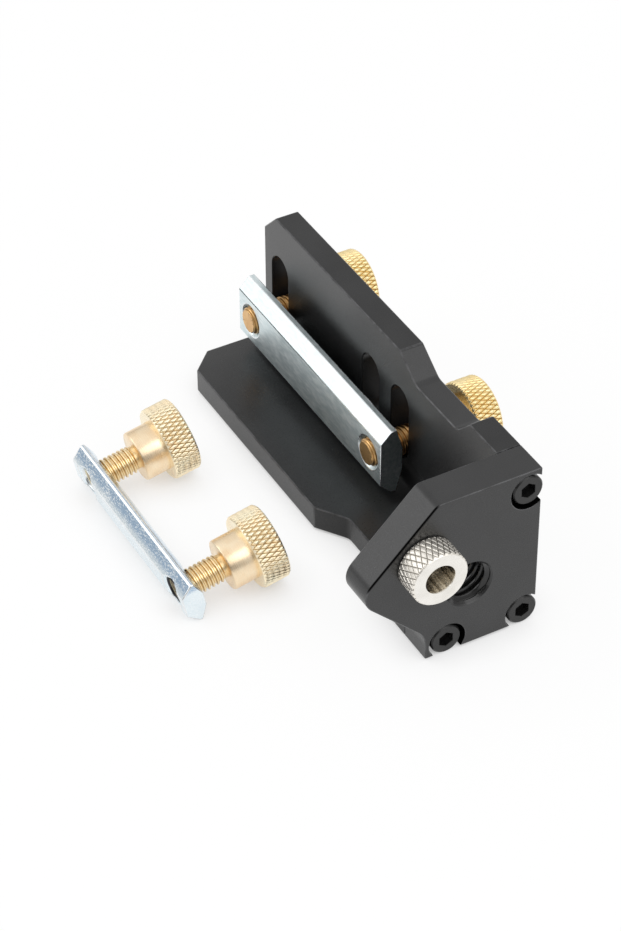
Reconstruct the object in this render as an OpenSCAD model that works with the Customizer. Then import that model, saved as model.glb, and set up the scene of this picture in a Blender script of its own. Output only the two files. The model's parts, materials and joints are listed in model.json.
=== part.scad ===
// Tapping guide jig: an L-shaped angle seats a bar of slotted section, an end plate stops it,
// a knurled bushing guides the tap on the section's centre and a slot bar clamps the section.
// X = 0 is the fence (inner face of the upright leg), Y = 0 the stop face, Z = 0 the underside.

/* [Section to be tapped] */
// Half width of the small section, from the fence and the seat to its centre
small_half = 10; // [9:0.5:11]
// Half width of the large section, from the fence and the seat to its centre
large_half = 20; // [19:0.5:22]

/* [Angle] */
// Thickness of both legs
leg_t = 5.4; // [5:0.1:6.5]
// Height of the upright leg above the underside
leg_h = 38; // [37:0.5:46]
// Width of the flat leg, measured from the outer face of the upright leg
leg_w = 24.8; // [23:0.2:28]
// Length of the angle behind the stop face
angle_len = 92.6; // [90:0.2:120]
// Corner cut at the far end of both legs
end_cut = 5; // [2:0.5:6]

/* [Relief behind the end plate] */
// Length of the full-size block next to the end plate
block_len = 9.9; // [9:0.1:12]
// Depth of the relief in the free edge of both legs
relief_depth = 4.5; // [3:0.1:5.5]
// Distance from the stop face to the top of the far slope
relief_end = 36.3; // [33:0.1:40]
// Length of the far slope along the leg
slope_run = 6.5; // [4:0.5:8]
// Fillet radius where the slopes meet the relief's floor
relief_fillet = 3; // [1:0.5:4]

/* [Clamp slots] */
// Width of the three upright slots
slot_w = 6.8; // [6.6:0.1:7.4]
// Height of the lowest clamp position above the seat
slot_low = 9.8; // [9.2:0.1:11]
// Height of the highest clamp position above the seat
slot_high = 20; // [17:0.1:21]
// Distance from the far end of the angle to the far slot
slot_inset = 6.7; // [6:0.1:9]

/* [End plate] */
// Thickness of the end plate
plate_t = 7.8; // [7:0.1:12]
// Distance from the guide axis to the plate's upper slanted edge
upper_margin = 7.2; // [6.5:0.1:9]
// Distance from the guide axis to the plate's lower slanted edge
lower_margin = 13.4; // [12:0.1:14]
// Radius of the rounded outer corner of the plate
nose_r = 4.5; // [2:0.5:6]
// Radius of the rounded corner between the top and the upper slanted edge
brow_r = 2.5; // [1:0.5:5]
// Fillet radius between the lower slanted edge and the foot
foot_fillet = 6; // [2:0.5:6]
// Diameter of both threaded holes, at the bottom of their thread
guide_hole_d = 10; // [9.5:0.1:11]
// Chamfer at both mouths of the threaded holes
guide_chamfer = 0.3; // [0.1:0.1:0.6]

/* [Cap screws] */
// Diameter of the cap screw's head
cap_head_d = 6.6; // [6:0.1:7.2]
// Height of the cap screw's head
cap_head_h = 4; // [3.6:0.1:4.4]
// Diameter of the cap screw's thread
cap_thread_d = 3.9; // [3.4:0.1:4.1]
// Length of the thread held by the angle
cap_grip = 8.6; // [6:0.1:9]
// Width across the flats of the hexagon socket
cap_socket = 3; // [2.5:0.1:3.4]
// Depth of the hexagon socket
cap_socket_depth = 2; // [1.5:0.1:2.4]
// Depth of the head below the plate's front face
cap_recess = 0.4; // [0.1:0.1:0.8]
// Distance from the free edge of a leg to the screw near that edge
cap_inset = 4.9; // [4.5:0.1:6]
// Bevel at the rim of the head and at the tip of the thread
cap_bevel = 0.3; // [0.1:0.05:0.5]
// Gap around the head in its counterbore
cap_head_gap = 0.7; // [0.3:0.05:0.8]
// Gap around the thread in the plate and in the angle
cap_thread_gap = 0.05; // [0.02:0.01:0.1]

/* [Guide bushing] */
// Diameter of the bushing's knurled head
bush_head_d = 12; // [11.4:0.1:14]
// Length of the bushing's knurled head
bush_head_len = 5.8; // [5:0.1:9]
// Bore that guides the tap
bush_bore = 6.2; // [4:0.1:7]
// Distance from the bushing's end to the stop face
bush_end_gap = 0.4; // [0.2:0.1:1.5]
// Pitch of the bushing's thread
bush_pitch = 1.5; // [1:0.25:1.5]
// Bevel at the head's front rim and at the mouths of the bore
bush_bevel = 0.4; // [0.2:0.05:0.6]
// Gap between the bushing's head and the plate
bush_seat_gap = 0.05; // [0.02:0.01:0.1]

/* [Thumb screws] */
// Diameter of the thumb screw's thread
screw_d = 5.9; // [5.6:0.1:6]
// Pitch of the thumb screw's thread
screw_pitch = 1; // [0.75:0.25:1.25]
// Length of the plain neck between the thread and the collar
screw_neck = 1; // [0.5:0.1:2]
// Diameter of the plain collar
collar_d = 10.8; // [9.5:0.1:12]
// Length of the plain collar
collar_len = 5.3; // [4:0.1:8]
// Diameter of the knurled head
head_d = 15.8; // [14:0.1:18]
// Length of the knurled head
head_len = 5.9; // [5:0.1:9]
// Bevel at both rims of the head and at the end of the collar
head_bevel = 0.4; // [0.2:0.1:1]
// Radial gap between a thread and the hole that holds it
thread_gap = 0.05; // [0.02:0.01:0.1]

/* [Clamp bar in the jig] */
// Distance between the two screws of the clamp bar
clamp_pitch = 50; // [46:0.5:51]
// Length of the clamp bar
clamp_len = 60; // [59:0.5:66]
// Height of the clamp bar
clamp_h = 15.5; // [14:0.1:17]
// Thickness of the clamp bar
clamp_t = 5.1; // [4.5:0.1:6]
// Bevel along the two edges away from the fence
clamp_bevel = 2.5; // [1:0.1:3]
// Gap between the fence and the clamp bar
clamp_gap = 2.1; // [1:0.1:3]
// Depth of the steep bevels on the side next to the fence
clamp_back_depth = 1.4; // [0.8:0.1:2]
// Height of the steep bevels on the side next to the fence
clamp_back_rise = 5; // [3:0.1:6]
// Length of the clamp screws from tip to collar
clamp_screw_len = 16.6; // [15:0.1:20]
// Length of the clamp screw's tip that stands out of the bar
clamp_tip = 0.6; // [0.2:0.1:1.5]
// Countersink at both mouths of a bar's threaded holes
hole_sink = 0.85; // [0.3:0.05:1]

/* [Spare bar lying beside the jig] */
// Distance between the two screws of the spare bar
spare_pitch = 38.2; // [36:0.1:41]
// Length of the spare bar
spare_len = 49.2; // [48:0.2:58]
// Height of the spare bar across its two ridges
spare_h = 9.9; // [9.2:0.1:11]
// Thickness of the spare bar
spare_t = 4.7; // [4.2:0.1:5.4]
// Bevel along the two edges on the free side
spare_bevel = 2.5; // [1.5:0.1:3]
// Depth of the steep bevels on the screw side
spare_back_depth = 1.5; // [0.8:0.1:2]
// Height of the steep bevels on the screw side
spare_back_rise = 3.3; // [2:0.1:4]
// Length of the spare screws from tip to collar
spare_screw_len = 10.2; // [9.5:0.1:14]
// Depth of a spare screw's tip below the bar's free side
spare_tip_depth = 1.2; // [0.2:0.1:1.6]
// Clear distance on the table between the flat leg and the spare screws' heads
spare_gap = 12; // [5:0.1:40]
// Distance from the stop face to the middle of the spare bar
spare_y = 48.3; // [40:0.1:60]

/* [Hidden] */
$fn = 96;
eps = 0.01;
// Depth, crest flat and root flat of a thread, as shares of its pitch
thread_depth = 0.6;
thread_crest = 0.24;
thread_root = 0.08;

// Places of the slots along the angle
slot_far_y = angle_len - slot_inset;
slot_near_y = slot_far_y - clamp_pitch;
slot_mid_y = slot_far_y - spare_pitch;
clamp_z = leg_t + slot_low;

// Axes of the cap screws in x and z, midway in the legs: top, corner and foot
leg_mid = leg_t / 2;
cap_places = [
    [leg_mid, leg_h - cap_inset],
    [leg_mid, leg_mid],
    [leg_t - leg_w + cap_inset, leg_mid]
];
// Table that the lower cap screw heads and the spare bar touch
table_z = min(0, leg_mid - cap_head_d / 2);

// Axes of the two threaded holes in the plate
free_axis = [-small_half, leg_t + small_half];
guide_axis = [-large_half, leg_t + large_half];

// Pose of the spare bar: a ridge of the bar and the heads of its screws touch the table
collar_face = spare_tip_depth + spare_screw_len;
rim_at = collar_face + collar_len + head_bevel;
spare_tilt = atan((head_d - spare_h) / 2 / (rim_at - spare_bevel));
spare_reach = collar_face + collar_len + head_len;
spare_x = leg_t - leg_w - spare_gap - spare_reach * cos(spare_tilt) - head_d / 2 * sin(spare_tilt);
spare_z = table_z + spare_h / 2 * cos(spare_tilt) - spare_bevel * sin(spare_tilt);

anodised = [0.09, 0.09, 0.1];
black_oxide = [0.05, 0.05, 0.055];
bright_steel = [0.75, 0.76, 0.78];
zinc = [0.78, 0.82, 0.86];
brass = [0.85, 0.68, 0.36];

// Cylinder along Y from its start towards +Y
module y_cylinder(x, z, start, length, d1, d2) {
    translate([x, start, z])
        rotate([-90, 0, 0])
            cylinder(h = length, d1 = d1, d2 = d2);
}

// Fill of a concave corner between directions a and b, with a tangent arc of radius r; it starts inside the body
module corner_fill(corner, a, b, r) {
    half = abs(a - b) / 2;
    reach = r / tan(half);
    middle = [cos((a + b) / 2), sin((a + b) / 2)];
    from = corner + reach * [cos(a), sin(a)];
    to = corner + reach * [cos(b), sin(b)];
    centre = corner + r / sin(half) * middle;
    difference() {
        polygon([corner - r / 4 * middle, from, centre, to]);
        translate(centre) circle(r);
    }
}

// Side outline of a leg: length along x, distance from the outer corner along y
module leg_outline(reach) {
    floor_y = reach - relief_depth;
    slope_foot = relief_end - slope_run;
    block_foot = block_len + relief_depth;
    slope_angle = atan(relief_depth / slope_run);
    polygon([
        [0, 0], [angle_len, 0], [angle_len, reach - end_cut], [angle_len - end_cut, reach],
        [relief_end, reach], [slope_foot, floor_y], [block_foot, floor_y], [block_len, reach], [0, reach]
    ]);
    corner_fill([slope_foot, floor_y], slope_angle, 180, relief_fillet);
    corner_fill([block_foot, floor_y], 0, 135, relief_fillet);
}

module slot_cut(y) {
    low = leg_t + slot_low;
    high = leg_t + slot_high;
    for (z = [low, high])
        translate([-eps, y, z])
            rotate([0, 90, 0])
                cylinder(h = leg_t + 2 * eps, d = slot_w);
    translate([-eps, y - slot_w / 2, low])
        cube([leg_t + 2 * eps, slot_w, high - low]);
}

module angle_body() {
    color(anodised)
        difference() {
            union() {
                rotate([90, 0, 90])
                    linear_extrude(leg_t)
                        leg_outline(leg_h);
                translate([leg_t, 0, 0])
                    rotate([0, 0, 90])
                        linear_extrude(leg_t)
                            leg_outline(leg_w);
            }
            for (y = [slot_far_y, slot_mid_y, slot_near_y])
                slot_cut(y);
            for (place = cap_places)
                y_cylinder(place[0], place[1], -eps, cap_grip + 1,
                    cap_thread_d + 2 * cap_thread_gap, cap_thread_d + 2 * cap_thread_gap);
        }
}

// Front outline of the end plate in x and z: square to the legs, slanted around the guide hole
module plate_outline() {
    upper = guide_axis[1] - guide_axis[0] + upper_margin * sqrt(2);
    lower = guide_axis[1] + guide_axis[0] - lower_margin * sqrt(2);
    nose = [(lower - upper) / 2, (upper + lower) / 2];
    tangent = nose_r / sqrt(2);
    brow = [leg_h - upper, leg_h];
    brow_reach = brow_r * tan(22.5);
    foot_x = leg_t - leg_w;
    foot_corner = [foot_x, lower - foot_x];
    polygon([
        [leg_t, 0], [leg_t, leg_h],
        brow + [brow_reach, 0], brow - brow_reach / sqrt(2) * [1, 1],
        nose + [tangent, tangent], nose + [tangent, -tangent],
        foot_corner, [foot_x, 0]
    ]);
    translate(nose + [nose_r * sqrt(2), 0])
        circle(nose_r);
    translate(brow + [brow_reach, -brow_r])
        circle(brow_r);
    corner_fill(foot_corner, 135, 270, foot_fillet);
}

module threaded_hole(axis) {
    wide = guide_hole_d + 2 * guide_chamfer;
    y_cylinder(axis[0], axis[1], -plate_t - eps, plate_t + 2 * eps, guide_hole_d, guide_hole_d);
    y_cylinder(axis[0], axis[1], -plate_t - eps, guide_chamfer + eps, wide, guide_hole_d);
    y_cylinder(axis[0], axis[1], -guide_chamfer, guide_chamfer + eps, guide_hole_d, wide);
}

module end_plate() {
    through = cap_thread_d + 2 * cap_thread_gap;
    counterbore = cap_head_d + 2 * cap_head_gap;
    color(anodised)
        difference() {
            rotate([90, 0, 0])
                linear_extrude(plate_t)
                    plate_outline();
            threaded_hole(free_axis);
            threaded_hole(guide_axis);
            for (place = cap_places) {
                y_cylinder(place[0], place[1], -plate_t, plate_t + eps, through, through);
                y_cylinder(place[0], place[1], -plate_t - eps, cap_recess + cap_head_h + eps,
                    counterbore, counterbore);
            }
        }
}

module cap_screw(place) {
    top = cap_recess - plate_t;
    seat = top + cap_head_h;
    shank = cap_grip - seat;
    color(black_oxide)
        difference() {
            union() {
                y_cylinder(place[0], place[1], top, cap_bevel, cap_head_d - 2 * cap_bevel, cap_head_d);
                y_cylinder(place[0], place[1], top + cap_bevel, cap_head_h - cap_bevel, cap_head_d, cap_head_d);
                y_cylinder(place[0], place[1], seat - eps, shank - cap_bevel + eps, cap_thread_d, cap_thread_d);
                y_cylinder(place[0], place[1], cap_grip - cap_bevel, cap_bevel,
                    cap_thread_d, cap_thread_d - 2 * cap_bevel);
            }
            translate([place[0], top - eps, place[1]])
                rotate([-90, 30, 0])
                    cylinder(h = cap_socket_depth + eps, d = cap_socket / cos(30), $fn = 6);
        }
}

module cap_screw_top() cap_screw(cap_places[0]);
module cap_screw_corner() cap_screw(cap_places[1]);
module cap_screw_foot() cap_screw(cap_places[2]);

// Outline points of a thread in radius and height: grooves of one pitch from start to finish
function thread_points(r, pitch, start, finish) =
    let (
        low = r - thread_depth * pitch,
        crest = thread_crest / 2,
        root = thread_root / 2,
        turns = floor((finish - start) / pitch)
    )
    [for (i = [0 : turns - 1], p = [[r, crest], [low, 0.5 - root], [low, 0.5 + root], [r, 1 - crest]])
        [p[0], start + (i + p[1]) * pitch]];

module guide_bushing() {
    r_bore = bush_bore / 2;
    r_head = bush_head_d / 2;
    r_thread = guide_hole_d / 2 - thread_gap;
    tip = plate_t - bush_end_gap;
    lead = thread_depth * bush_pitch;
    color(bright_steel)
        translate([guide_axis[0], -plate_t, guide_axis[1]])
            rotate([-90, 0, 0])
                rotate_extrude()
                    polygon(concat(
                        [
                            [r_bore, bush_bevel - bush_seat_gap - bush_head_len],
                            [r_bore + bush_bevel, -bush_seat_gap - bush_head_len],
                            [r_head - bush_bevel, -bush_seat_gap - bush_head_len],
                            [r_head, bush_bevel - bush_seat_gap - bush_head_len],
                            [r_head, -bush_seat_gap - bush_bevel],
                            [r_head - bush_bevel, -bush_seat_gap],
                            [r_thread - lead, -bush_seat_gap],
                            [r_thread - lead, guide_chamfer],
                            [r_thread, guide_chamfer]
                        ],
                        thread_points(r_thread, bush_pitch, guide_chamfer, tip - lead),
                        [
                            [r_thread, tip - lead],
                            [r_thread - lead, tip],
                            [r_bore + bush_bevel, tip],
                            [r_bore, tip - bush_bevel]
                        ]));
}

// One turned thumb screw along +X: tip at the origin, thread, neck, collar and head
module thumb_screw(length) {
    r = screw_d / 2;
    lead = thread_depth * screw_pitch;
    r_neck = r - lead;
    r_collar = collar_d / 2;
    r_head = head_d / 2;
    thread_end = length - screw_neck;
    head_at = length + collar_len;
    end = head_at + head_len;
    color(brass)
        rotate([0, 90, 0])
            rotate_extrude()
                polygon(concat(
                    [[0, 0], [r_neck, 0], [r, lead]],
                    thread_points(r, screw_pitch, lead, thread_end),
                    [
                        [r, thread_end], [r_neck, thread_end], [r_neck, length],
                        [r_collar - head_bevel, length], [r_collar, length + head_bevel], [r_collar, head_at],
                        [r_head - head_bevel, head_at], [r_head, head_at + head_bevel],
                        [r_head, end - head_bevel], [r_head - head_bevel, end], [0, end]
                    ]));
}

// Slot bar along Y, free side at x = 0 and screw side at x = t, with two threaded holes
module slot_bar(length, pitch, h, t, bevel, back_depth, back_rise) {
    hole = screw_d + 2 * thread_gap;
    difference() {
        translate([0, length / 2, 0])
            rotate([90, 0, 0])
                linear_extrude(length)
                    polygon([
                        [0, bevel - h / 2], [bevel, -h / 2],
                        [t - back_depth, -h / 2], [t, back_rise - h / 2],
                        [t, h / 2 - back_rise], [t - back_depth, h / 2],
                        [bevel, h / 2], [0, h / 2 - bevel]
                    ]);
        for (y = [-pitch / 2, pitch / 2])
            translate([0, y, 0])
                rotate([0, 90, 0]) {
                    translate([0, 0, -eps])
                        cylinder(h = t + 2 * eps, d = hole);
                    translate([0, 0, -eps])
                        cylinder(h = hole_sink + eps, d1 = hole + 2 * hole_sink, d2 = hole);
                    translate([0, 0, t - hole_sink])
                        cylinder(h = hole_sink + eps, d1 = hole, d2 = hole + 2 * hole_sink);
                }
    }
}

module clamp_bar() {
    color(zinc)
        translate([-clamp_gap - clamp_t, slot_far_y - clamp_pitch / 2, clamp_z])
            slot_bar(clamp_len, clamp_pitch, clamp_h, clamp_t, clamp_bevel,
                clamp_back_depth, clamp_back_rise);
}

module clamp_screw(y) {
    translate([-clamp_gap - clamp_t - clamp_tip, y, clamp_z])
        thumb_screw(clamp_screw_len);
}

module thumb_screw_far() clamp_screw(slot_far_y);
module thumb_screw_near() clamp_screw(slot_near_y);

module place_spare() {
    translate([spare_x, spare_y, spare_z])
        rotate([0, -spare_tilt, 0])
            children();
}

module spare_bar() {
    color(zinc)
        place_spare()
            slot_bar(spare_len, spare_pitch, spare_h, spare_t, spare_bevel,
                spare_back_depth, spare_back_rise);
}

module spare_screw(y) {
    place_spare()
        translate([spare_tip_depth, y, 0])
            thumb_screw(spare_screw_len);
}

module spare_screw_far() spare_screw(spare_pitch / 2);
module spare_screw_near() spare_screw(-spare_pitch / 2);

angle_body();
end_plate();
cap_screw_top();
cap_screw_corner();
cap_screw_foot();
guide_bushing();
clamp_bar();
thumb_screw_far();
thumb_screw_near();
spare_bar();
spare_screw_far();
spare_screw_near();
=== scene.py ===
import json

import bmesh
import bpy
import numpy as np
from mathutils import Matrix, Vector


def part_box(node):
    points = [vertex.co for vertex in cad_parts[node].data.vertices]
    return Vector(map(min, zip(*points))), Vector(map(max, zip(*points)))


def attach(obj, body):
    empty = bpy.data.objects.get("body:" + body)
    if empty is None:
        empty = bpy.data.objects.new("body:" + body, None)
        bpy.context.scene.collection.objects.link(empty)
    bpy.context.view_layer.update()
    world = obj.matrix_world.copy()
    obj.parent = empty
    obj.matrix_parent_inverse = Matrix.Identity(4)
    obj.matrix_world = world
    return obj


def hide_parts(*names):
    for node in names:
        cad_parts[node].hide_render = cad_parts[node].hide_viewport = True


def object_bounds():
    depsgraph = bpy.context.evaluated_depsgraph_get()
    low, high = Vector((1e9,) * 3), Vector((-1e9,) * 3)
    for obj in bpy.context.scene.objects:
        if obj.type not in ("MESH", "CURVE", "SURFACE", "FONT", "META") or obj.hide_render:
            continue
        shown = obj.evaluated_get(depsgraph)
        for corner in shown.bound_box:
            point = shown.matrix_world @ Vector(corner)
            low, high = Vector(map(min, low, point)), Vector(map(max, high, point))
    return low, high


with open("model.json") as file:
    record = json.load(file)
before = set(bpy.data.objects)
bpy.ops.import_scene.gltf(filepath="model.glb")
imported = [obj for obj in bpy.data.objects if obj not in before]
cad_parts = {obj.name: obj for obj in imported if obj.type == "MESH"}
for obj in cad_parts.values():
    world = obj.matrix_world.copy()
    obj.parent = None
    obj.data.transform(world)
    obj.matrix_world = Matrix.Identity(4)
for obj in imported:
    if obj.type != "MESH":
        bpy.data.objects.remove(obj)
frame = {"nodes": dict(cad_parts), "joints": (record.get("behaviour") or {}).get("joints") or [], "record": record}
nodes = frame["nodes"]
joints = {j["name"]: j for j in frame["joints"]}
places = {m["name"]: m["pos_m"] for m in frame["record"]["mounts"]}
cadLow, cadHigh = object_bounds()
mm = 0.001
print("frame loaded:", len(nodes), "nodes")


def metres(values):  # lengths in mm to metres
    return [value * mm for value in values]


def addNode(tree, kind, inputs=None, **settings):
    node = tree.nodes.new("ShaderNode" + kind)
    for name, value in settings.items():
        setattr(node, name, value)
    for name, value in (inputs or {}).items():
        if isinstance(value, bpy.types.NodeSocket):
            tree.links.new(value, node.inputs[name])
        else:
            node.inputs[name].default_value = value
    return node


def calc(tree, operation, *values, clamp=False):
    return addNode(tree, "Math", dict(enumerate(values)), operation=operation, use_clamp=clamp).outputs[0]


def vectorCalc(tree, operation, *values):
    outputs = addNode(tree, "VectorMath", dict(enumerate(values)), operation=operation).outputs
    return outputs["Value" if operation in ("DOT_PRODUCT", "DISTANCE", "LENGTH") else "Vector"]


def startMaterial(name):
    material = bpy.data.materials.new(name)
    material.use_nodes = True
    material.node_tree.nodes.clear()
    coords = addNode(material.node_tree, "TexCoord").outputs["Object"]
    return material, material.node_tree, coords


def grain(tree, coords, size, stretch=(1, 1, 1), detail=3):  # noise with cells of that size in mm
    mapped = addNode(tree, "Mapping", {"Vector": coords, "Scale": stretch}).outputs[0]
    inputs = {"Vector": mapped, "Scale": 1 / (size * mm), "Detail": detail}
    return addNode(tree, "TexNoise", inputs).outputs[0]


def span(tree, value, low, high, start=0.3, finish=0.7):  # value from start..finish to low..high
    inputs = {"Value": value, "From Min": start, "From Max": finish, "To Min": low, "To Max": high}
    return addNode(tree, "MapRange", inputs).outputs[0]


def tint(tree, share, first, second):  # colour between two, by share
    pair = [c if isinstance(c, bpy.types.NodeSocket) else (*c, 1) for c in (first, second)]
    return addNode(tree, "Mix", {0: share, 6: pair[0], 7: pair[1]}, data_type="RGBA").outputs[2]


def bumps(tree, height, depth, normal=None):  # depth in mm
    inputs = {"Height": height, "Strength": 1.0, "Distance": depth * mm}
    if normal is not None:
        inputs["Normal"] = normal
    return addNode(tree, "Bump", inputs).outputs[0]


def endMaterial(material, tree, inputs):
    surface = addNode(tree, "BsdfPrincipled", inputs)
    output = addNode(tree, "OutputMaterial", {"Surface": surface.outputs[0]})
    output.is_active_output = True
    return material


# lengths in mm here and in the dictionaries below, unless a note says otherwise
anodise = {
    "dark": (0.010, 0.010, 0.0105), "light": (0.016, 0.016, 0.0165), "cloudSize": 9,
    # the rounded edges' lighter colour is partly wear and partly a painted highlight
    "worn": (0.07, 0.07, 0.0735), "wornSize": 2.2, "wornShare": (0.15, 1.0, 0.35, 0.6),
    "grainSize": 0.22, "grainDepth": 0.004, "milledSize": 0.5,
    "roughness": (0.26, 0.36), "shine": 0.64, "joint": (0.08, 0.16)}
# painted shade and painted light on the angle, given as shares of its shine
angleShade = {
    "corner": (0.45, 1.05), "cornerReach": (15, 29), "farShare": 1.15, "farReach": (70, 92),
    "slotMargin": 0.3, "slotShare": 0.35, "slotTop": 31, "slotSide": 3.6,
    "topShare": 0.68, "topReach": (37.7, 37.8)}
# painted dark reflection along the plate's upper slanted edge, and painted shade around the screw heads
plateShade = {
    "upperMargin": 7.2, "chamfer": 0.5, "frontReach": (0.2, 0.4),
    "headGap": 0.75, "sunkReach": (0.05, 0.1), "black": (0.002, 0.002, 0.002)}
guide, seatLevel = places["guide_bore"], places["seat"][2]
farSlot, nearSlot = (joints[name]["pos_m"][1] for name in ("far_screw_turn", "near_screw_turn"))
slotMiddle = seatLevel / 2, (farSlot + nearSlot) / 2
slotHalf = (farSlot - nearSlot) / 2 + angleShade["slotSide"] * mm
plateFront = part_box("end_plate")[0][1]


# painted shade and painted light on the angle's shine
def anglePaintedShade(tree, x, y, z, worn):  # share of the shine, and 1 inside the slots
    above = calc(tree, "SUBTRACT", z, seatLevel)
    depth = calc(tree, "MAXIMUM", calc(tree, "ABSOLUTE", x), above)
    # painted shade by less shine deep in the inner corner, and painted light by more shine towards the far end
    corner = span(tree, depth, *angleShade["corner"], *metres(angleShade["cornerReach"]))
    far = span(tree, y, 0, 1, *metres(angleShade["farReach"]))
    corner = addNode(tree, "Mix", {0: far, 2: corner, 3: angleShade["farShare"]}).outputs[0]
    # the slots' rims count as inside only among the rounded edges, which are lighter partly from wear and partly
    # as a painted highlight
    margin = -angleShade["slotMargin"] if worn else angleShade["slotMargin"]
    inside = calc(tree, "COMPARE", x, slotMiddle[0], slotMiddle[0] - margin * mm)
    inSlot = calc(tree, "MULTIPLY", calc(tree, "COMPARE", y, slotMiddle[1], slotHalf), inside)
    below = calc(tree, "LESS_THAN", z, angleShade["slotTop"] * mm)
    inSlot = calc(tree, "MULTIPLY", inSlot, below)
    # painted shade inside the slots and on the leg's top face, by less shine
    slotShade = span(tree, inSlot, 1, angleShade["slotShare"], 0, 1)
    onTop = span(tree, z, 1, angleShade["topShare"], *metres(angleShade["topReach"]))
    return calc(tree, "MULTIPLY", corner, calc(tree, "MULTIPLY", slotShade, onTop)), inSlot


# the plate's painted dark reflection and painted shade
def plateClearOfShade(tree, coords, x, y, z):  # 0 in the dark lines of the plate, 1 elsewhere
    # painted dark reflection: a line on the front along the upper slanted edge, where z - x is the same all along
    level = guide[2] - guide[0] + plateShade["upperMargin"] * np.sqrt(2) * mm
    chamfer = plateShade["chamfer"] * mm
    slant = calc(tree, "SUBTRACT", z, x)
    inner = span(tree, slant, 1, 0, level - np.sqrt(2) * chamfer, level - 0.5 * chamfer)
    first, last = metres(plateShade["frontReach"])
    behind = span(tree, y, 0, 1, plateFront + first, plateFront + last)
    clear = calc(tree, "MAXIMUM", inner, behind)
    # painted shade in the gap around each screw's head, behind the plate's front
    flat = vectorCalc(tree, "MULTIPLY", coords, (1, 0, 1))
    first, last = metres(plateShade["sunkReach"])
    sunk = span(tree, y, 0, 1, plateFront + first, plateFront + last)
    for cap in ("cap_screw_top", "cap_screw_corner", "cap_screw_foot"):
        low, high = (np.array(corner, float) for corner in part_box(cap))
        middle = (low + high) / 2 * (1, 0, 1)
        away = vectorCalc(tree, "DISTANCE", flat, tuple(middle))
        reach = (high[2] - low[2]) / 2 + plateShade["headGap"] * mm
        inGap = calc(tree, "MULTIPLY", calc(tree, "LESS_THAN", away, reach), sunk)
        clear = calc(tree, "SUBTRACT", clear, inGap, clamp=True)
    return clear


def anodised(name, streaks, worn, plate):
    material, tree, coords = startMaterial(name)
    fine = grain(tree, coords, anodise["grainSize"], detail=2)
    milled = grain(tree, coords, anodise["milledSize"], streaks, 4)
    cloud = grain(tree, coords, anodise["cloudSize"], detail=2)
    colour = tint(tree, span(tree, cloud, 0, 1), anodise["dark"], anodise["light"])
    # rounded edges lighter, partly from wear and partly as a painted highlight
    if worn:
        patchy = span(tree, grain(tree, coords, anodise["wornSize"], detail=4), *anodise["wornShare"])
        colour = tint(tree, patchy, colour, anodise["worn"])
    normal = bumps(tree, milled, anodise["grainDepth"] / 2, bumps(tree, fine, anodise["grainDepth"]))
    x, y, z = addNode(tree, "SeparateXYZ", {0: coords}).outputs
    # no shine in the joint where plate and angle meet
    shine = span(tree, calc(tree, "ABSOLUTE", y), 0, anodise["shine"], *metres(anodise["joint"]))
    if plate:
        # the plate's painted shade and painted dark reflection are black and have no shine
        clear = plateClearOfShade(tree, coords, x, y, z)
        shine = calc(tree, "MULTIPLY", shine, clear)
        colour = tint(tree, clear, plateShade["black"], colour)
    else:
        share, inSlot = anglePaintedShade(tree, x, y, z, worn)
        shine = calc(tree, "MULTIPLY", shine, share)
        # inside the slots the rounded edges take the dark colour, as painted shade
        if worn:
            colour = tint(tree, inSlot, colour, anodise["dark"])
    return endMaterial(material, tree, {
        "Base Color": colour, "Normal": normal, "Specular IOR Level": shine,
        "Roughness": span(tree, fine, *anodise["roughness"])})


angleBlack = anodised("angleBlack", (1, 0.02, 1), False, False)
angleWorn = anodised("angleWorn", (1, 0.2, 1), True, False)
plateBlack = anodised("plateBlack", (0.02, 1, 1), False, True)
plateWorn = anodised("plateWorn", (0.2, 1, 1), True, True)

oxide = {"dark": (0.006, 0.006, 0.0065), "light": (0.014, 0.0135, 0.013), "cloudSize": 1.5,
         "grainSize": 0.3, "grainDepth": 0.004, "roughness": (0.28, 0.4), "holeRoughness": (0.14, 0.2)}


def blackOxide(name, roughness):
    material, tree, coords = startMaterial(name)
    fine = grain(tree, coords, oxide["grainSize"])
    cloud = grain(tree, coords, oxide["cloudSize"])
    return endMaterial(material, tree, {
        "Base Color": tint(tree, span(tree, cloud, 0, 1), oxide["dark"], oxide["light"]),
        "Roughness": span(tree, fine, *roughness),
        "Normal": bumps(tree, fine, oxide["grainDepth"])})


screwBlack = blackOxide("screwBlack", oxide["roughness"])
holeBlack = blackOxide("holeBlack", oxide["holeRoughness"])

zinc = {  # the flecks' size, stretch, sharpness and depth belong to each finish
    "clamp": {"dark": (0.66, 0.76, 0.78), "light": (0.86, 0.93, 0.94), "size": 0.5,
              "stretch": (1, 0.25, 1), "sharpness": 0.2, "depth": 0.0015, "roughness": (0.33, 0.40)},
    "spare": {"dark": (0.77, 0.86, 0.91), "light": (0.92, 0.97, 0.99), "size": 0.22,
              "stretch": (1, 0.4, 1), "sharpness": 0.12, "depth": 0.004, "roughness": (0.2, 0.30)},
    "edge": {"dark": (0.78, 0.82, 0.84), "light": (0.93, 0.95, 0.96), "size": 0.5,
             "stretch": (1, 0.6, 1), "sharpness": 0.2, "depth": 0.002, "roughness": (0.2, 0.32)},
    "cloudSize": 4, "cloudShare": 0.4, "middle": 0.74,
    # the threaded hole is darkened inside as painted shade
    "hole": 3.0, "rim": 0.2, "holeFade": 0.02, "holeDark": (0.05, 0.05, 0.055),
    "sawn": (0.40, 0.53, 0.68), "sawnReach": (2.9, 3.7), "sawnSpots": (0.70, 0.86),
    "line": 5.25, "lineHalf": 0.3, "lineDark": (0.14, 0.15, 0.155), "lineFade": (4, 24)}


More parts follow.
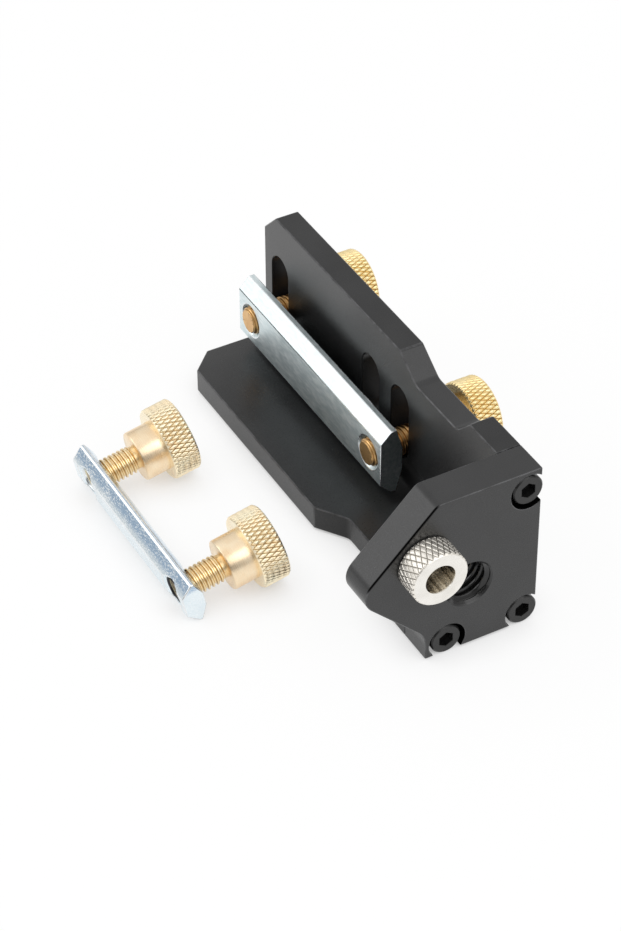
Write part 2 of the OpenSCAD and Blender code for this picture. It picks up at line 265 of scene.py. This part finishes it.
def zincPlate(name, look, hole=None, rim=0, sawn=False, line=False):
    material, tree, coords = startMaterial(name)
    flecks = grain(tree, coords, look["size"], look["stretch"], 3)
    cloud = grain(tree, coords, zinc["cloudSize"], detail=3)
    patches = calc(tree, "MULTIPLY_ADD", cloud, zinc["cloudShare"], flecks)
    first, last = zinc["middle"] - look["sharpness"], zinc["middle"] + look["sharpness"]
    colour = tint(tree, span(tree, patches, 0, 1, first, last), look["dark"], look["light"])
    if hole:
        axis = joints[hole]["axis"]
        fromAxis = vectorCalc(tree, "SUBTRACT", coords, joints[hole]["pos_m"])
    if sawn:  # the spare bar's upper bevel is darker and specked, by the height over its axis
        height = vectorCalc(tree, "DOT_PRODUCT", fromAxis, (-axis[2], 0, axis[0]))
        spots = span(tree, patches, 1, 0, *zinc["sawnSpots"])
        share = calc(tree, "MULTIPLY", span(tree, height, 0, 1, *metres(zinc["sawnReach"])), spots)
        colour = tint(tree, share, colour, zinc["sawn"])
    if line:  # dark where the clamp bar's front meets its upper bevel, less so towards the near screw
        x, y, z = addNode(tree, "SeparateXYZ", {0: coords}).outputs
        level = joints["far_screw_turn"]["pos_m"][2] + zinc["line"] * mm
        onLine = calc(tree, "COMPARE", z, level, zinc["lineHalf"] * mm)
        first, last = metres(zinc["lineFade"])
        share = calc(tree, "MULTIPLY", onLine, span(tree, y, 0, 1, nearSlot + first, nearSlot + last))
        colour = tint(tree, share, colour, zinc["lineDark"])
    # painted shade inside the threaded hole
    if hole:  # dark inside the threaded hole, by the distance from its axis
        away = vectorCalc(tree, "LENGTH", vectorCalc(tree, "CROSS_PRODUCT", fromAxis, axis))
        wall, fade = zinc["hole"] + rim, zinc["holeFade"]
        outside = span(tree, away, 0, 1, (wall - fade) * mm, (wall + fade) * mm)
        colour = tint(tree, outside, zinc["holeDark"], colour)
    return endMaterial(material, tree, {
        "Base Color": colour,
        "Metallic": 1.0,
        "Roughness": span(tree, flecks, *look["roughness"]),
        "Normal": bumps(tree, flecks, look["depth"])})


clampZinc = zincPlate("clampZinc", zinc["clamp"])
clampEdge = zincPlate("clampEdge", zinc["edge"], line=True)
spareZinc = zincPlate("spareZinc", zinc["spare"], "spare_near_turn", sawn=True)
spareEdge = zincPlate("spareEdge", zinc["edge"], "spare_near_turn", zinc["rim"])

# the third colour of each tone is painted shade in the grooves and thread flanks
brassTone = {  # dark, light and groove colour
    "mountedKnurl": ((0.97, 0.75, 0.37), (1.0, 0.84, 0.49), (0.46, 0.29, 0.09)),
    "looseKnurl": ((1.0, 0.83, 0.57), (1.0, 0.91, 0.68), (0.43, 0.26, 0.10)),
    "loose": ((0.93, 0.71, 0.46), (0.98, 0.82, 0.59), (0.44, 0.31, 0.17)),
    # shaft: dark brown, painted shade on the mounted screws' threads and tips in the slots
    "shaft": ((0.62, 0.36, 0.14), (0.78, 0.50, 0.22), (0.30, 0.15, 0.05)),
    "collar": ((0.88, 0.60, 0.26), (0.95, 0.70, 0.36), (0.40, 0.24, 0.08)),
    "thread": ((0.92, 0.71, 0.40), (0.97, 0.82, 0.53), (0.52, 0.32, 0.13)),
    # tip: dark brown, painted shade on the loose screws' tips inside their holes
    "tip": ((0.36, 0.26, 0.14), (0.46, 0.34, 0.19), (0.20, 0.14, 0.08)),
    "roughness": (0.26, 0.36), "knurlRoughness": (0.24, 0.34), "satin": 0.1,
    "ringSize": 0.12, "ringDepth": 0.003}
turning = {"cloudSize": 3, "dirtReach": (0.3, 1.0)}


# the rings of the turning follow the profile's length, and painted shade follows the depth of the grooves
def turnedMetal(name, tones, roughness, ringSize, ringDepth, satin=0):
    dark, light, grooveShade = tones
    material, tree, coords = startMaterial(name)
    deep, along = (addNode(tree, "Attribute", attribute_name=label, attribute_type="GEOMETRY").outputs["Fac"]
                   for label in ("deep", "along"))
    inputs = {"W": along, "Scale": 1 / ringSize, "Detail": 2.0}
    rings = addNode(tree, "TexNoise", inputs, noise_dimensions="1D").outputs[0]
    cloud = grain(tree, coords, turning["cloudSize"], detail=3)
    colour = tint(tree, span(tree, cloud, 0, 1), dark, light)
    return endMaterial(material, tree, {
        "Base Color": tint(tree, span(tree, deep, 0, 1, *turning["dirtReach"]), colour, grooveShade),
        "Metallic": 1.0 - satin,
        "Roughness": span(tree, rings, *roughness),
        "Normal": bumps(tree, rings, ringDepth)})


def brass(part, roughness, satin=0):
    return turnedMetal(part + "Brass", brassTone[part], brassTone[roughness], brassTone["ringSize"],
                       brassTone["ringDepth"], satin)


mountedKnurl, looseKnurl = (
    brass(part, "knurlRoughness", brassTone["satin"]) for part in ("mountedKnurl", "looseKnurl"))
looseBrass, shaftShadedBrass, collarBrass, threadBrass, tipShadedBrass = (
    brass(part, "roughness") for part in ("loose", "shaft", "collar", "thread", "tip"))

# the third colour of each tone is painted shade in the grooves
nickelTone = {
    "outside": ((0.82, 0.795, 0.745), (0.93, 0.905, 0.855), (0.2, 0.19, 0.17)), "roughness": (0.16, 0.26),
    "knurl": ((0.88, 0.84, 0.77), (0.97, 0.93, 0.86), (0.14, 0.13, 0.11)), "knurlRoughness": (0.38, 0.46),
    "ringSize": 0.15, "ringDepth": 0.003,
    "bore": ((0.40, 0.365, 0.31), (0.92, 0.88, 0.80)), "boreReach": (0.38, 0.62),
    "streakSize": 0.5, "streakStretch": (1, 0.03, 1), "streakDepth": 0.012}
nickel = turnedMetal("nickel", nickelTone["outside"], nickelTone["roughness"], nickelTone["ringSize"],
                     nickelTone["ringDepth"])
nickelKnurl = turnedMetal("nickelKnurl", nickelTone["knurl"], nickelTone["knurlRoughness"],
                          nickelTone["ringSize"], nickelTone["ringDepth"])


def reamedSteel():  # streaks run along the bore
    material, tree, coords = startMaterial("reamedSteel")
    streaks = grain(tree, coords, nickelTone["streakSize"], nickelTone["streakStretch"], 2)
    return endMaterial(material, tree, {
        "Base Color": tint(tree, span(tree, streaks, 0, 1, *nickelTone["boreReach"]), *nickelTone["bore"]),
        "Metallic": 1.0,
        "Roughness": span(tree, streaks, *nickelTone["roughness"]),
        "Normal": bumps(tree, streaks, nickelTone["streakDepth"])})


boreSteel = reamedSteel()
print("materials made")

copies = {"merge": 0.001, "flat": 1, "sharp": 12, "segments": 2, "evenWeight": 100}  # angles in degrees


# a merged copy of the CAD node, with a bevel on the outer edges that are sharper than the angle
def roundedCopy(node, name, body, slot, materials, width, angle):
    mesh = nodes[node].data.copy()
    mesh.name = name
    mesh.materials.clear()
    work = bmesh.new()
    work.from_mesh(mesh)
    bmesh.ops.remove_doubles(work, verts=work.verts, dist=copies["merge"] * mm)
    bmesh.ops.dissolve_limit(work, angle_limit=np.radians(copies["flat"]), verts=work.verts, edges=work.edges)
    bmesh.ops.recalc_face_normals(work, faces=work.faces)
    work.edges.index_update()
    outer = [edge.calc_face_angle_signed(0) > np.radians(angle) for edge in work.edges]
    work.to_mesh(mesh)
    work.free()
    weight = mesh.attributes.new("bevel_weight_edge", "FLOAT", "EDGE")
    weight.data.foreach_set("value", np.array(outer, np.float32))
    mesh.polygons.foreach_set("material_index", np.zeros(len(mesh.polygons), np.int32))
    for material in materials:
        mesh.materials.append(material)
    mesh.shade_smooth()
    mesh.set_sharp_from_angle(angle=np.radians(copies["sharp"]))
    piece = bpy.data.objects.new(name, mesh)
    bpy.context.scene.collection.objects.link(piece)
    bevel = piece.modifiers.new("rounded", "BEVEL")
    bevel.width = width * mm
    bevel.segments = copies["segments"]
    bevel.limit_method = "WEIGHT"
    bevel.use_clamp_overlap = False
    bevel.material = len(materials) - 1
    even = piece.modifiers.new("even", "WEIGHTED_NORMAL")  # keeps the flats flat beside the rounded edges
    even.weight = copies["evenWeight"]
    even.keep_sharp = True
    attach(piece, body)
    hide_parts(node)


edges = {  # width of the rounded edges, and the angle in degrees from which an edge is rounded
    "angle": (0.25, 30), "plate": (0.22, 50), "clamp": (0.14, 22), "spare": (0.28, 22), "cap": (0.08, 50)}
roundedCopy("angle_body", "angleBody", "jig", "black_anodised", [angleBlack, angleWorn], *edges["angle"])
roundedCopy("end_plate", "endPlate", "jig", "black_anodised", [plateBlack, plateWorn], *edges["plate"])
roundedCopy("clamp_bar", "clampBar", "clamp", "zinc_plate", [clampZinc, clampEdge], *edges["clamp"])
roundedCopy("spare_bar", "spareBar", "spare", "zinc_plate", [spareZinc, spareEdge], *edges["spare"])
for place in ("Top", "Corner", "Foot"):
    roundedCopy("cap_screw_" + place.lower(), "capScrew" + place, "jig", "black_oxide", [screwBlack],
                *edges["cap"])
print("rounded copies made")


# turned pieces are rows along the axis by columns around it, computed as whole arrays
def axisFrame(joint):  # a point, the axis and two directions across it
    axis = np.array(joints[joint]["axis"], float)
    axis /= np.linalg.norm(axis)
    across = np.cross(axis, (0, 1, 0) if abs(axis[1]) < 0.9 else (0, 0, 1))
    across /= np.linalg.norm(across)
    return np.array(joints[joint]["pos_m"], float), axis, across, np.cross(axis, across)


def nodeSpan(node, place):  # first and last point of a CAD node along its axis, in mm from the joint's point
    points = np.zeros(len(nodes[node].data.vertices) * 3, np.float32)
    nodes[node].data.vertices.foreach_get("co", points)
    reach = (points.reshape(-1, 3) - place[0]) @ place[1] / mm
    return reach.min(), reach.max()


def plainRows(profile, columns):  # (distance, radius) pairs, each carried around the axis as a circle
    reach, radius = np.repeat(np.array(profile, float).T[..., None], columns + 1, 2)
    return reach, radius, 0 * reach


# each row climbs one pitch in a turn, the radius goes from the crest's flat to the root's by the share
# of the pitch, and a cone at each end runs the thread out; a negative depth makes an inner thread
def threadRows(start, finish, crest, depth, pitch, columns, flat, perTurn):
    row = np.arange((int(np.ceil((finish - start) / pitch)) + 1) * perTurn + 1)
    climb = np.arange(columns + 1) / columns
    reach = np.clip(start + pitch * (row[:, None] / perTurn - 1 + climb), start, finish)
    away = np.abs(row / perTurn % 1 - 0.5) * 2
    deep = np.clip((away - flat) / (1 - 2 * flat), 0, 1)[:, None] + 0 * climb
    radius, root = crest - depth * deep, crest - depth
    runOut = np.minimum(reach - start, finish - reach)
    radius = np.minimum(radius, root + runOut) if depth > 0 else np.maximum(radius, root - runOut)
    # the deep share carries painted shade onto the flanks
    return reach, radius, 4 * deep * (1 - deep)  # the flanks are the dark part


# two families of straight-sided grooves wind at the helix angle, each tooth between them is a low dome
# that falls by the square of the distance from its middle, and cones cut the rims
def knurlRows(start, finish, radius, knurl, rim):
    samples, teeth = knurl["samples"], knurl["teeth"]
    pitch = 2 * np.pi * radius / teeth / np.tan(np.radians(knurl["helix"]))
    count = int(np.ceil((finish - start) / (pitch / samples)))
    i, j = np.arange(count + 1)[:, None], np.arange(teeth * samples + 1)[None, :]
    reach = np.minimum(start + i * pitch / samples, finish) + 0 * j
    first, second = (i + j) / samples % 1, (i - j) / samples % 1
    nearer = 2 * np.minimum(np.minimum(first, 1 - first), np.minimum(second, 1 - second))
    deep = np.clip(1 - nearer / knurl["width"], 0, 1) * (reach > start) * (reach < finish)
    outer = radius - knurl["depth"] * deep - knurl["dome"] * (1 - nearer) ** 2
    return reach, np.minimum(outer, radius - rim + np.minimum(reach - start, finish - reach)), deep


def gridFaces(rows, columns, split=0):  # quads, or triangles whose diagonal follows the grooves
    corner = (np.arange(rows - 1)[:, None] * (columns + 1) + np.arange(columns)).ravel()
    a, b, c, d = corner, corner + 1, corner + columns + 2, corner + columns + 1
    if not split:
        return np.stack([a, b, c, d], 1)
    turn = ((corner // (columns + 1) + corner % (columns + 1) + 1) % split == 0)[:, None]
    one = np.where(turn, np.stack([a, b, d], 1), np.stack([a, b, c], 1))
    two = np.where(turn, np.stack([b, c, d], 1), np.stack([a, c, d], 1))
    return np.concatenate([one, two])


# a point is the distance along the axis plus the radius turned by the column's angle
def turnedShell(place, rows, split=0):
    reach, radius, deep = (np.concatenate(part) for part in zip(*rows))
    count, columns = reach.shape[0], reach.shape[1] - 1
    angle = 2 * np.pi * np.arange(columns + 1) / columns
    around = np.cos(angle)[:, None] * place[2] + np.sin(angle)[:, None] * place[3]
    spot = reach[..., None] * place[1] + radius[..., None] * around
    step = np.hypot(np.diff(reach.mean(1)), np.diff(radius.mean(1)))
    along = np.repeat(np.concatenate([[0], np.cumsum(step)]), columns + 1)
    return place[0] + spot.reshape(-1, 3) * mm, gridFaces(count, columns, split), along, deep.ravel()


turned = {"merge": 0.001, "smallest": 0.0005, "sharp": 28}  # angle in degrees


def turnedPiece(name, shells, materials, body, replaced=None):  # one material for each shell
    mesh = bpy.data.meshes.new(name)
    points = np.concatenate([s[0] for s in shells])
    first = np.cumsum([0] + [len(s[0]) for s in shells])
    faces = [s[1] + offset for s, offset in zip(shells, first)]
    corners = np.concatenate([f.ravel() for f in faces]).astype(np.int32)
    sizes = np.concatenate([np.full(len(f), f.shape[1]) for f in faces])
    shellOf = np.repeat(np.arange(len(faces)), [len(f) for f in faces])
    mesh.vertices.add(len(points))
    mesh.vertices.foreach_set("co", points.astype(np.float32).ravel())
    mesh.loops.add(len(corners))
    mesh.loops.foreach_set("vertex_index", corners)
    mesh.polygons.add(len(sizes))
    mesh.polygons.foreach_set("loop_start", (np.cumsum(sizes) - sizes).astype(np.int32))
    mesh.polygons.foreach_set("material_index", shellOf.astype(np.int32))
    mesh.update(calc_edges=True)
    for part, label in enumerate(("along", "deep"), 2):
        attribute = mesh.attributes.new(label, "FLOAT", "POINT")
        attribute.data.foreach_set("value", np.concatenate([s[part] for s in shells]).astype(np.float32))
    work = bmesh.new()
    work.from_mesh(mesh)
    bmesh.ops.remove_doubles(work, verts=work.verts, dist=turned["merge"] * mm)  # closes seams and poles
    bmesh.ops.dissolve_degenerate(work, edges=work.edges, dist=turned["smallest"] * mm)
    bmesh.ops.recalc_face_normals(work, faces=work.faces)
    work.to_mesh(mesh)
    work.free()
    for material in materials:
        mesh.materials.append(material)
    mesh.shade_smooth()
    mesh.set_sharp_from_angle(angle=np.radians(turned["sharp"]))
    piece = bpy.data.objects.new(name, mesh)
    bpy.context.scene.collection.objects.link(piece)
    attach(piece, body)
    if replaced:
        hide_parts(replaced)


thumb = {"thread": 2.95, "pitch": 1.0, "depth": 0.5, "flat": 0.28, "perTurn": 12, "neck": 0.6,
         "collar": 5.4, "collarLength": 5.3, "head": 7.9, "headLength": 5.9, "bevel": 0.4, "ease": 0.12,
         "overlap": 0.5, "columns": 96}
thumbKnurl = {"teeth": 49, "samples": 12, "helix": 21, "depth": 0.1, "width": 0.24, "dome": 0.23}


def thumbScrew(node, name, joint, body, materials):
    place = axisFrame(joint)
    tip, end = nodeSpan(node, place)
    head = end - thumb["headLength"]
    start = head - thumb["collarLength"]  # where the collar starts
    neck, inHead = start - thumb["neck"], head + thumb["overlap"]
    root = thumb["thread"] - thumb["depth"]
    collar, bevel, ease = thumb["collar"], thumb["bevel"], thumb["ease"]
    rim = thumb["head"] - bevel
    columns = thumb["columns"]
    point = [plainRows([(tip, 0), (tip, root)], columns)]
    shaft = [
        threadRows(tip, neck, thumb["thread"], thumb["depth"], thumb["pitch"], columns, thumb["flat"],
                   thumb["perTurn"]),
        plainRows([(neck, root), (start, root)], columns),
    ]
    shoulder = [plainRows([(start, root), (start, collar - bevel), (start + ease, collar - ease),
                           (start + bevel, collar), (inHead, collar), (inHead, 0)], columns)]
    columns = thumbKnurl["teeth"] * thumbKnurl["samples"]
    knob = [
        plainRows([(head, 0), (head, collar), (head, rim)], columns),
        knurlRows(head, end, thumb["head"], thumbKnurl, bevel),
        plainRows([(end, rim), (end, rim * 0.5), (end, 0)], columns),
    ]
    shells = [turnedShell(place, point), turnedShell(place, shaft), turnedShell(place, shoulder),
              turnedShell(place, knob, thumbKnurl["samples"])]
    turnedPiece(name, shells, materials, body, node)


mountedLook = [shaftShadedBrass, shaftShadedBrass, collarBrass, mountedKnurl]  # tip, thread, collar and head
looseLook = [tipShadedBrass, threadBrass, looseBrass, looseKnurl]
thumbScrew("thumb_screw_far", "thumbScrewFar", "far_screw_turn", "far_screw", mountedLook)
thumbScrew("thumb_screw_near", "thumbScrewNear", "near_screw_turn", "near_screw", mountedLook)
thumbScrew("spare_screw_far", "spareScrewFar", "spare_far_turn", "spare_far", looseLook)
thumbScrew("spare_screw_near", "spareScrewNear", "spare_near_turn", "spare_near", looseLook)
print("thumb screws made")

bushing = {"head": 6.0, "headLength": 5.8, "rim": 0.3, "bore": 3.1, "bevel": 0.4, "ease": 0.12,
           "shank": 4.95, "root": 4.05, "neck": 0.6, "leadIn": 1.2, "leadOut": 0.8}
bushingKnurl = {"teeth": 30, "samples": 12, "helix": 27, "depth": 0.15, "width": 0.28, "dome": 0.02}


def guideBushing():
    place = axisFrame("bushing_turn")
    front, tip = nodeSpan("guide_bushing", place)
    back = front + bushing["headLength"]
    bore, bevel, ease = bushing["bore"], bushing["bevel"], bushing["ease"]
    rim, shank, root = bushing["head"] - bushing["rim"], bushing["shank"], bushing["root"]
    columns = bushingKnurl["teeth"] * bushingKnurl["samples"]
    face = [plainRows([(front + bevel, bore), (front + ease, bore + ease), (front, bore + bevel),
                       (front, rim)], columns)]
    knurl = [knurlRows(front, back, bushing["head"], bushingKnurl, bushing["rim"])]
    stem = [plainRows([(back, rim), (back, root), (back + bushing["neck"], root),
                       (back + bushing["leadIn"], shank), (tip - bushing["leadOut"], shank), (tip, root),
                       (tip, bore + bevel), (tip - bevel, bore)], columns)]
    inside = [plainRows([(tip - bevel, bore), (front + bevel, bore)], columns)]
    shells = [turnedShell(place, face), turnedShell(place, knurl, bushingKnurl["samples"]),
              turnedShell(place, stem), turnedShell(place, inside)]
    turnedPiece("guideBushing", shells, [nickel, nickelKnurl, nickel, boreSteel], "bushing",
                "guide_bushing")


guideBushing()

holeThread = {"wall": 5.25, "root": 5.02, "depth": 0.82, "pitch": 1.5, "flat": 0.18, "perTurn": 16,
              "inset": 0.3, "columns": 96}


def freeHoleThread():  # ridges of the thread in the plate's free hole, closed into a ring inside the plate
    low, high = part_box("end_plate")
    start, finish = low[1] / mm + holeThread["inset"], high[1] / mm - holeThread["inset"]
    centre = np.array(places["free_hole"], float) * (1, 0, 1)
    place = centre, np.array((0.0, 1, 0)), np.array((0.0, 0, 1)), np.array((1.0, 0, 0))
    wall, root, depth = holeThread["wall"], holeThread["root"], holeThread["depth"]
    columns = holeThread["columns"]
    rows = [
        plainRows([(start, wall), (start, root)], columns),
        threadRows(start, finish, root - depth, -depth, holeThread["pitch"], columns, holeThread["flat"],
                   holeThread["perTurn"]),
        plainRows([(finish, root), (finish, wall), (start, wall)], columns),
    ]
    turnedPiece("freeHoleThread", [turnedShell(place, rows)], [holeBlack], "jig")


freeHoleThread()
print("bushing and hole thread made")

table = {  # size and reach in metres
    "size": 6.0, "colour": (0.95, 0.95, 0.95), "fibreColour": (0.97, 0.97, 0.97), "fibreSize": 4,
    # contact: the white share kept in the painted contact shadow beside the pieces
    "paper": 0.9, "contact": 0.35, "contactReach": 0.008, "contactSamples": 16}


def makeTable():
    half, level = table["size"] / 2, cadLow[2]
    mesh = bpy.data.meshes.new("table")
    mesh.from_pydata([(-half, -half, level), (half, -half, level), (half, half, level), (-half, half, level)],
                     [], [(0, 1, 2, 3)])
    material, tree, coords = startMaterial("tablePaper")
    fibres = grain(tree, coords, table["fibreSize"])
    lit = addNode(tree, "BsdfDiffuse", {"Color": tint(tree, fibres, table["colour"], table["fibreColour"])})
    bright = addNode(tree, "Emission", {"Color": (1, 1, 1, 1), "Strength": 1.0})
    path = addNode(tree, "LightPath").outputs
    seen = calc(tree, "MAXIMUM", path["Is Camera Ray"], path["Is Glossy Ray"])
    # painted contact shadow: the white share falls where ambient occlusion finds a piece close by
    inputs = {"Distance": table["contactReach"]}
    near = addNode(tree, "AmbientOcclusion", inputs, samples=table["contactSamples"]).outputs["AO"]
    deepestShadow = table["paper"] * table["contact"]  # right beside the pieces
    paper = span(tree, near, deepestShadow, table["paper"], 0, 1)
    share = calc(tree, "MULTIPLY", seen, paper)
    mix = addNode(tree, "MixShader", {0: share, 1: lit.outputs[0], 2: bright.outputs[0]})
    addNode(tree, "OutputMaterial", {"Surface": mix.outputs[0]})
    mesh.materials.append(material)
    piece = bpy.data.objects.new("table", mesh)
    bpy.context.scene.collection.objects.link(piece)


makeTable()

sky = {"low": (0.50, 0.50, 0.50), "high": (0.95, 0.95, 0.95), "rise": (0.02, 0.5),
       "flags": {(-0.612, -0.714, 0.34): 0.25, (0.369, 0.673, 0.641): 0.85},  # darker directions, shares
       "flagReach": (0.75, 0.93)}


def makeSky():
    world = bpy.data.worlds.new("studio")
    world.use_nodes = True
    tree = world.node_tree
    tree.nodes.clear()
    way = addNode(tree, "TexCoord").outputs["Generated"]
    up = addNode(tree, "SeparateXYZ", {0: way}).outputs[2]
    colour = tint(tree, span(tree, up, 0, 1, *sky["rise"]), sky["low"], sky["high"])
    level = 1.0
    for flag, share in sky["flags"].items():
        shade = span(tree, vectorCalc(tree, "DOT_PRODUCT", way, flag), 1, share, *sky["flagReach"])
        level = calc(tree, "MULTIPLY", shade, level)
    around = addNode(tree, "Background", {"Color": colour, "Strength": level})
    white = addNode(tree, "Background", {"Color": (1, 1, 1, 1), "Strength": 1.0})
    seen = addNode(tree, "LightPath").outputs["Is Camera Ray"]
    mix = addNode(tree, "MixShader", {0: seen, 1: around.outputs[0], 2: white.outputs[0]})
    addNode(tree, "OutputWorld", {"Surface": mix.outputs[0]})
    bpy.context.scene.world = world


makeSky()


def placed(right, up, back, spot):  # matrix of a lamp or camera that looks against back
    rows = np.stack([right, up, back], 1)
    return Matrix([(*row, p) for row, p in zip(rows, spot)] + [(0, 0, 0, 1)])


lampTarget = (-0.024, 0.03, 0.015)
lamps = {  # place in metres, size, power in watts
    "left": ((-1.15, 0.55, 0.78), (1.5, 0.8), 4.4),
    "front": ((0.066, -0.99, 1.245), (1.7, 1.0), 6.6),
}


def makeLamp(name, spot, size, power):
    light = bpy.data.lights.new(name, "AREA")
    light.shape = "RECTANGLE"
    light.size, light.size_y = size
    light.energy = power
    lamp = bpy.data.objects.new(name, light)
    back = np.array(spot) - np.array(lampTarget)
    back = back / np.linalg.norm(back)
    right = np.cross((0, 0, 1), back)
    right = right / np.linalg.norm(right)
    lamp.matrix_world = placed(right, np.cross(back, right), back, spot)
    bpy.context.scene.collection.objects.link(lamp)


for name, (spot, size, power) in lamps.items():
    makeLamp(name, spot, size, power)

view = {"azimuth": -28.738, "elevation": 39.893, "roll": -0.318, "distance": 0.595524,  # degrees and metres
        "target": (-0.023584, 0.030, 0.022762), "lens": 117.79, "sensor": 36, "clip": (0.01, 20)}


def makeCamera():
    az, el, roll = np.radians([view["azimuth"], view["elevation"], view["roll"]])
    back = np.array((np.sin(az) * np.cos(el), -np.cos(az) * np.cos(el), np.sin(el)))
    right = np.array((np.cos(az), np.sin(az), 0))
    up = np.cross(back, right)
    right, up = right * np.cos(roll) + up * np.sin(roll), up * np.cos(roll) - right * np.sin(roll)
    spot = np.array(view["target"]) + back * view["distance"]
    data = bpy.data.cameras.new("camera")
    data.lens, data.sensor_width, data.sensor_fit = view["lens"], view["sensor"], "AUTO"
    data.clip_start, data.clip_end = view["clip"]
    camera = bpy.data.objects.new("camera", data)
    camera.matrix_world = placed(right, up, back, spot)
    bpy.context.scene.collection.objects.link(camera)
    bpy.context.scene.camera = camera


makeCamera()
bpy.context.scene.view_settings.view_transform = "Standard"
print("stage, light and camera made")
